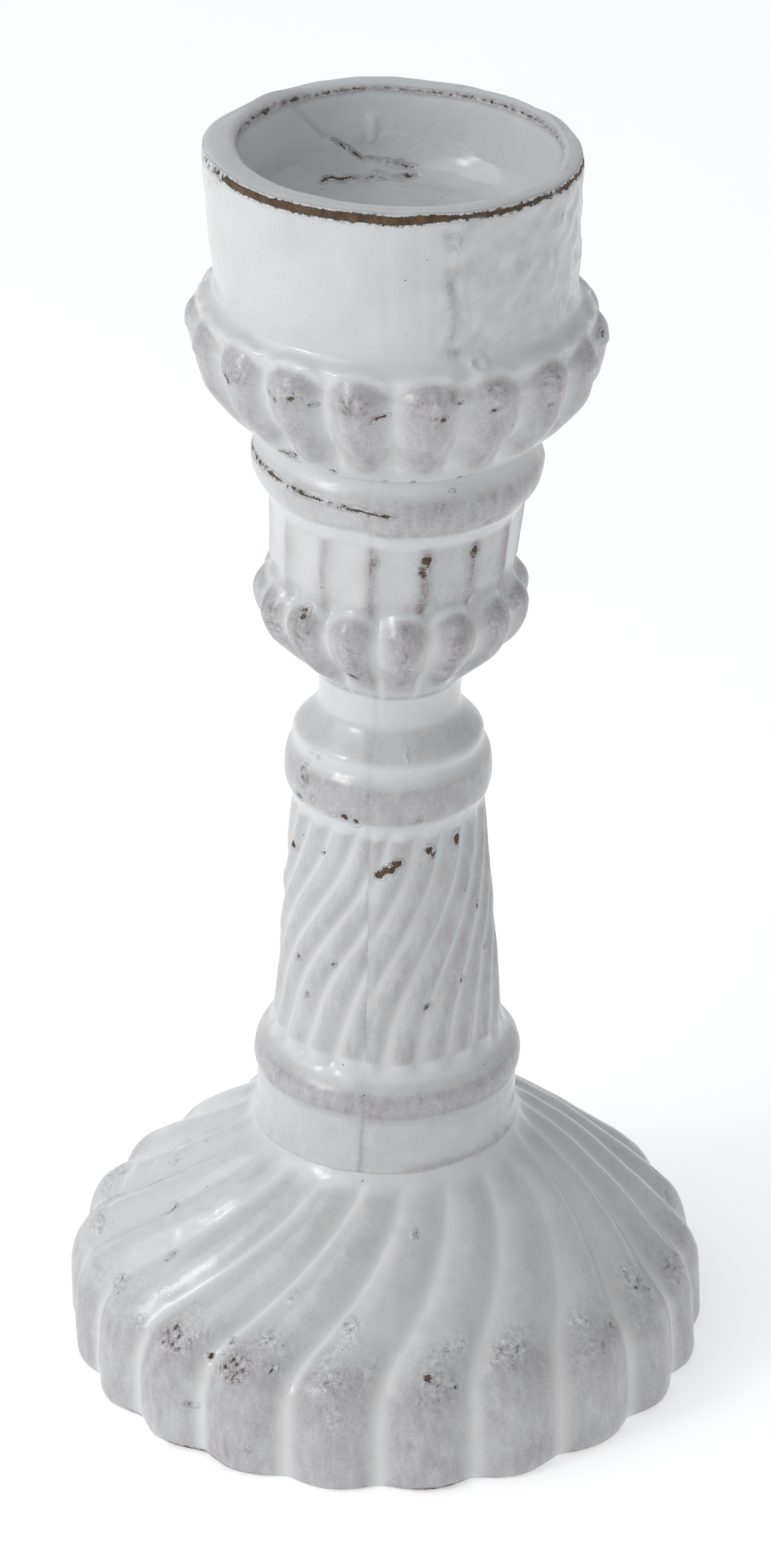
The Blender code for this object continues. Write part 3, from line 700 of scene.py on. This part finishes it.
cup_marks = [
    (-78, 144, 0.8, 0.8, 0.85), (-52.6, 145, 0.5, 0.9, 0.9), (-38.6, 144.9, 0.5, 0.5, 0.95),
    (-35.7, 144.7, 0.4, 0.35, 0.9), (-29, 145.9, 0.5, 0.4, 0.8), (-24, 145, 0.8, 0.4, 0.85),
    (-4.4, 144.5, 1.1, 0.4, 1), (-7.2, 144.2, 0.6, 0.35, 0.95), (12.7, 144.6, 0.6, 0.5, 1),
    (10, 144.9, 0.4, 0.3, 0.85), (17.4, 146.6, 0.7, 0.45, 1), (26.6, 145.4, 0.6, 0.4, 0.95),
    (38, 144.7, 0.9, 0.3, 0.7), (46.7, 143.5, 0.3, 0.4, 0.85), (70, 145.8, 0.9, 0.6, 0.85),
    (-48, 146.2, 3.2, 1.6, 0.36), (-30, 146.3, 2.8, 1.5, 0.4), (-11, 146.6, 3, 1.4, 0.36),
    (8, 146.8, 2.8, 1.5, 0.34), (28, 147.6, 2, 1.6, 0.38), (47, 147.4, 2.2, 1.8, 0.42),
    (-14, 142, 3, 2, 0.26), (6, 141.5, 1.6, 3, 0.22), (14, 140, 1.6, 2.4, 0.24),
    (83, 147, 1.0, 0.8, 0.7), (-45, 134, 2.4, 0.9, 0.75),
    (-25, 133.6, 0.5, 0.5, 0.75), (-5, 132.9, 0.4, 0.4, 0.8), (6, 132.9, 0.4, 0.4, 0.8),
    (25, 132.9, 0.4, 0.4, 0.8), (30, 132.9, 0.4, 0.4, 0.8), (61, 165.5, 0.35, 0.35, 0.8),
    (17, 158, 0.8, 6, 0.3), (17, 151.5, 0.9, 1, 0.42), (19, 166, 0.8, 1.6, 0.3),
    (24, 157, 2, 4, 0.16), (34, 152.5, 2, 1.2, 0.2),
    (-80, 168.8, 2, 0.8, 0.55), (-66, 168.4, 2.5, 0.8, 0.5), (-72, 167, 1.2, 1, 0.3),
    *stray_marks(71, 20, 144.5, 147.5, 1.5, 0.8),
    *stray_marks(72, 10, 133, 138, 1.4, 0.7),
    *stray_marks(73, 6, 152, 166, 0.5, 0.7),
]

# The shown line runs up the bowl and the wall, over the rim and down inside the cup. `outer` is 1
# as far as the rim's top, and `run` is the way along the line.
line, shown = section(CUP_OUTSIDE, CUP_INSIDE, CUP_HIDDEN_STEP)
levels = line[shown[:, 0] > 0, 0]
over_rim = int(np.argmax(levels))
outer = (np.arange(len(line)) <= over_rim)[:, None] * 1.0
run = np.append(0, np.cumsum(np.hypot(*np.diff(line, axis=0).T)))[:, None]
edge_run = run[np.argmin(np.abs(levels[:over_rim] - OUTER_EDGE))]
inner_run = run[over_rim + np.argmin(np.abs(levels[over_rim:] - INNER_EDGE))]
for side, start in (("right", CUP_SEAM), ("left", CUP_SEAM + math.pi)):
    turns = start + np.linspace(0, math.pi, CUP_TURNS)
    turn, height, radius, spot = spun(line, turns)
    around = wrapped(turn)

    # The lobes, each under a brow of glaze, and a fine ridge along their widest part.
    off_seam = np.abs(np.sin(turn - CUP_SEAM)) * radius
    joined = hill(off_seam, 0.9)
    seam = hill(off_seam, 0.5) * outer
    crest = np.abs(np.sin((turn - BOWL_GROOVES[side]) * BOWL_LOBES / 2))
    crest = crest + (0.3 - crest) * joined
    lobed = within(height, 137, 160, 4.5) * within(height, 120, 148.5, 1) * outer
    lobe = BOWL_DEPTH * lobed * (1 - np.hypot(crest, 0.14))
    waist = within(height, 142.5, 145.2, 2.6) * (1 - ease((height - 145) / 0.6))
    lobe += 0.22 * waist * crest * outer
    ridge = hill(height - 145.2, 0.5) * outer * crest
    brow = hill(height - 148.4 - 1.3 * crest, 0.5) * outer

    # By the seam a blister ring and a lump of clay. Right of it the wall is pitted, most of all in
    # one column, and left of it three faint wiped bands run up.
    rough = within(around, 0.33, 2.2, 0.1) * within(height, 152, 168, 2) * outer
    blister = np.hypot(wrapped(turn - BLISTER_TURN) * radius, height - BLISTER_LEVEL)
    blister = hill(blister - 0.9, 0.3) * outer
    lump = np.hypot(wrapped(turn - LUMP_TURN) * radius / 1.3, (height - LUMP_LEVEL) / 1.7)
    lump = np.exp(-(lump**2)) * outer
    press = 0.14 * drift(spot, 8, 81) + 0.035 * drift(spot, 2.4, 82) - 0.12 * ridge
    press = press - 0.28 * brow - 0.35 * blister - 0.9 * lump
    pits = 0.2 * drift(spot, 2.3, 83) + 0.09 * drift(spot, 1.1, 84)
    press = press + rough * pits + 0.05 * seam
    column = hill(around - PITTED_TURN, 0.06)
    column = column * within(height, 151.5, 167.5, 1) * outer
    press = press + column * (0.12 + 0.34 * drift(spot, 1.2, 94))
    for degrees in WIPED_DEGREES:
        band = hill(around - math.radians(degrees), 0.03)
        press = press + 0.06 * outer * band * within(height, 153, 168, 2)

    # Two flats pinch the opening at the back.
    dented = 0.8 * hill(wrapped(turn + 2.2), 0.36)
    dented = dented + 0.4 * hill(wrapped(turn - 2.4), 0.3)
    dented = dented * ease((height - 156) / 12) * np.where(outer > 0, 1, -1)

    # Wear: the marks, the bare line round the rim's outer edge and a fainter one inside it.
    worn = marks(turn, height, radius, cup_marks) * outer
    lip_width = 0.6 + 0.28 * within(around, -1, 0.1, 0.3)
    lip = np.exp(-(((run - edge_run) / lip_width) ** 4)) * outer
    bare_lip = 0.62 + 0.6 * within(around, -0.95, 0.3, 0.3) + 0.4 * within(around, 0.3, 1.6, 0.3)
    lip = lip * np.clip(bare_lip + 0.25 * drift(spot, 2.6, 85), 0, 1)
    inner_lip = hill(run - inner_run, 0.45) * (1 - outer)
    bare_inside = 0.2 + 0.7 * ease(0.5 - np.cos(turn))
    inner_lip = inner_lip * np.clip(bare_inside + 0.3 * drift(spot, 3, 86), 0, 1)
    worn = np.maximum(worn, np.maximum(lip, 0.72 * inner_lip))

    # Inside, the crease that carries the torn line up the wall, and a drip of glaze beside it.
    crease = np.interp(around % math.tau, np.radians(TEAR_DEGREES), TEAR_HEIGHTS)
    crease = hill(height - crease, 0.4) * within(around % math.tau, 3.6, 3.85, 0.1)
    crease = crease * (1 - outer) * shown * (height > 160)
    drip = hill(wrapped(turn - 3.316), 0.035)
    drip = drip * within(height, 163, 165.5, 1.2) * (1 - outer)
    depth = (lobe + press) * shown + dented + worn * WEAR_DEPTH + 0.15 * crease - 0.4 * drip
    depth = depth + (1 - shown) * 0.3 * drift(spot, 8, 87) * within(height, 134, 150, 2)

    # Glaze: white in the valleys and brows, grey on the lobes and broken over the pits.
    valley = 1 - lobed * np.minimum(np.hypot(crest, 0.14), 1)
    pool = valley**2.5 * within(height, 135, 150.6, 1.5) * outer
    glaze = 0.92 + 0.05 * drift(spot, 7, 88) - 0.46 * lobed * crest**0.5 - 0.1 * ridge
    glaze = glaze + (1 - glaze) * 0.9 * brow - 0.3 * lump - 0.2 * blister
    glaze = glaze - (0.14 * rough + 0.12 * column) * (0.6 + drift(spot, 2.2, 89))
    glaze = glaze + (1 - glaze) * pool - 0.6 * inner_lip - 0.3 * crease
    glaze = shown * glaze + (1 - shown) * (0.3 + 0.3 * drift(spot, 6, 90))
    worn = np.maximum(worn, (1 - shown) * (0.5 + 0.4 * drift(spot, 7, 91)))
    points = let_in(line, turns, depth)
    points[..., 0] += OPENING_SHIFT * (1 - outer) * ease((height - 157) / 8)
    points[..., 2] += 0.22 * drift(spot * [1, 1, 0], 9, 92) * ease((height - 150) / 18)
    points[..., 2] += FRONT_LIFT * np.cos(turn) * ease((height - 160) / 9)
    half = raise_piece(f"glazed_cup_{side}", thrown_off(points), False, glaze, worn)
    glazed(half, f"cup_shell_{side}")

# ---- Floor of the cup ----
# A disc of brown earthenware pressed into the cup from above, soft and uneven. It was glazed with
# the rest, white on top and thin underneath.

FLOOR_LEVEL = 159
FLOOR_THICKNESS = 4.5
FLOOR_RADIUS = 17.95
FLOOR_RINGS = 40
FLOOR_TURNS = 200
UNDER_COIL = 14.4

rings = np.linspace(0.15, FLOOR_RADIUS, FLOOR_RINGS)
edge = np.linspace(FLOOR_LEVEL - FLOOR_THICKNESS + 0.5, FLOOR_LEVEL - 0.4, 8)
line = np.concatenate([
    np.stack([np.full(FLOOR_RINGS, FLOOR_LEVEL - FLOOR_THICKNESS), rings], axis=1),
    np.stack([edge, np.full(len(edge), FLOOR_RADIUS)], axis=1),
    np.stack([np.full(FLOOR_RINGS, FLOOR_LEVEL), rings[::-1]], axis=1),
])
turns = np.linspace(0, math.tau, FLOOR_TURNS, endpoint=False)
turn, height, radius, spot = spun(line, turns)
upper = height > FLOOR_LEVEL - 0.2
uneven = 0.25 * drift(spot, 7, 101) + 0.07 * drift(spot, 2.2, 102)
height = height + upper * uneven * ease((UNDER_COIL - radius) / 3)
worn = marks(turn, height, radius, [(150, FLOOR_LEVEL, 0.5, 3, 0.3)]) * upper
glaze = np.where(upper, 0.88 + 0.1 * drift(spot, 5, 103), 0.3)
points = thrown_off(placed(turn, height, radius))
floor_disc = raise_piece("glazed_cup_floor", points, True, glaze, worn)
glazed(floor_disc, "cup_floor")

# ---- Coil round the floor ----
# A roll of brown clay smeared by thumb into the corner of floor and wall, and glazed white. Its
# edge tore at the back left, where two ragged brown lines show through the glaze.

COIL_LINE = [
    (158.2, 17.9), (158.4, 16), (158.75, 13.6), (158.96, 14.3), (159.22, 15.8), (159.75, 16.95),
    (160.5, 17.62), (161.4, 18.1), (162.4, 18.45), (163.4, 18.73), (164.3, 19.05), (162.5, 19),
    (159.6, 18.4),
]

COIL_STEP = 0.22
FLOOR_COIL_TURNS = 420
CORNER_LEVEL = 159.3

line = smooth_line(COIL_LINE, COIL_STEP)
turns = np.linspace(0, math.tau, FLOOR_COIL_TURNS, endpoint=False)
turn, height, radius, spot = spun(line, turns)
upper = (np.arange(len(line)) > np.argmin(line[:, 1]))[:, None] * (radius < 18.8)
torn = within(turn, 3.05, 3.75, 0.12) * upper
ragged = drift(spot, 1.6, 112)
corner = height - CORNER_LEVEL - 0.25 * ragged
tear = height - np.interp(turn, np.radians(TEAR_DEGREES), TEAR_HEIGHTS) - 0.3 * ragged
worn = hill(tear, 0.3) * within(turn, 3.02, 3.7, 0.1)
worn = np.maximum(worn, hill(corner, 0.25) * within(turn, 3.0, 3.73, 0.1))
worn = worn * np.clip(0.72 + 0.35 * drift(spot, 2.2, 114), 0, 0.95) * upper
flap = 0.35 * ease(-tear / 0.4) * ease(corner / 0.8) + 0.09 * (corner > 0) * ragged
radius = radius - torn * flap
radius = radius + 0.12 * drift(spot * [1, 1, 0], 5, 111) * within(height, 159.1, 161.5, 0.6)
glaze = 0.9 + 0.08 * drift(spot, 4, 113) - 0.25 * worn
points = placed(turn, height, radius)
points[..., 0] += OPENING_SHIFT * ease((height - 157) / 8)
floor_coil = raise_piece("smeared_floor_coil", thrown_off(points), True, glaze, worn)
glazed(floor_coil, "cup_floor_coil")

# ---- Floor, light and camera ----
# A pale matt table top, light from every side, a soft window high on the left and a camera that
# looks down on the candlestick from the front.

TABLE_SIZE = 6.0
TABLE_GLOW = 0.45
LOW_WALLS = (0.87, 0.89, 0.91, 1)
HIGH_WALLS = (0.56, 0.57, 0.58, 1)
ROOM_STRENGTH = 0.74
LIT_POINT = (0, 0, 0.08)
CAMERA_PLACE = (0, -0.697, 0.4535)
CAMERA_DIP = math.radians(28.1)
CAMERA_LENS = 140.9

# Name, width, height, power and place of each window.
WINDOWS = [
    ("soft_window", 1.1, 1.1, 5.8, (-0.88, -0.36, 0.9)),
    ("bright_pane", 0.2, 0.22, 1.5, (-0.8, -0.5, 0.62)),
]


def pale_top():
    """A plain pale paint, lit up a little so that it stays white."""
    material = bpy.data.materials.new("pale_table")
    material.use_nodes = True
    tree = material.node_tree
    tree.nodes.clear()
    start = Socket(tree)
    place = start.node("TexCoord", output="Object")
    cloud = grain(place, 60, 2)
    colour = cloud.mix((0.8, 0.8, 0.8, 1), (0.82, 0.82, 0.82, 1))
    shader = start.node("BsdfPrincipled", {}, {
        "Base Color": colour, "Roughness": 0.9,
        "Emission Color": (1, 1, 1, 1), "Emission Strength": TABLE_GLOW,
    })
    start.node("OutputMaterial", {}, {"Surface": shader})
    return material


def look(thing, place, target):
    """Puts a light at `place`, facing `target`."""
    thing.location = place
    aim = [b - a for a, b in zip(place, target)]
    thing.rotation_euler = (
        math.atan2(math.hypot(aim[0], aim[1]), -aim[2]),
        0,
        math.atan2(-aim[0], aim[1]),
    )


reach = TABLE_SIZE / 2
corners = [(-reach, -reach, 0), (reach, -reach, 0), (reach, reach, 0), (-reach, reach, 0)]
mesh = bpy.data.meshes.new("table_top")
mesh.from_pydata(corners, [], [(0, 1, 2, 3)])
mesh.materials.append(pale_top())
table_top = bpy.data.objects.new("table_top", mesh)
bpy.context.scene.collection.objects.link(table_top)
table_top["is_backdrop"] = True

world = bpy.data.worlds.new("soft_room")
bpy.context.scene.world = world
world.use_nodes = True
world.node_tree.nodes.clear()
room = Socket(world.node_tree)
upward = room.node("TexCoord", output="Generated")
upward = room.node("SeparateXYZ", {}, {0: upward}, "Z")
walls = upward.rise(0.0, 0.9).mix(LOW_WALLS, HIGH_WALLS)
sky = room.node("Background", {}, {"Color": walls, "Strength": ROOM_STRENGTH})
room.node("OutputWorld", {}, {"Surface": sky})

for name, wide, tall, power, place in WINDOWS:
    window = bpy.data.lights.new(name, "AREA")
    window.shape = "RECTANGLE"
    window.size = wide
    window.size_y = tall
    window.energy = power
    window_frame = bpy.data.objects.new(name, window)
    bpy.context.scene.collection.objects.link(window_frame)
    look(window_frame, place, LIT_POINT)

lens = bpy.data.cameras.new("camera")
lens.lens = CAMERA_LENS
lens.sensor_width = 36
camera = bpy.data.objects.new("camera", lens)
bpy.context.scene.collection.objects.link(camera)
camera.location = CAMERA_PLACE
camera.rotation_euler = (math.pi / 2 - CAMERA_DIP, 0, 0)
bpy.context.scene.camera = camera
bpy.context.scene.view_settings.view_transform = "Standard"

low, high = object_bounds()
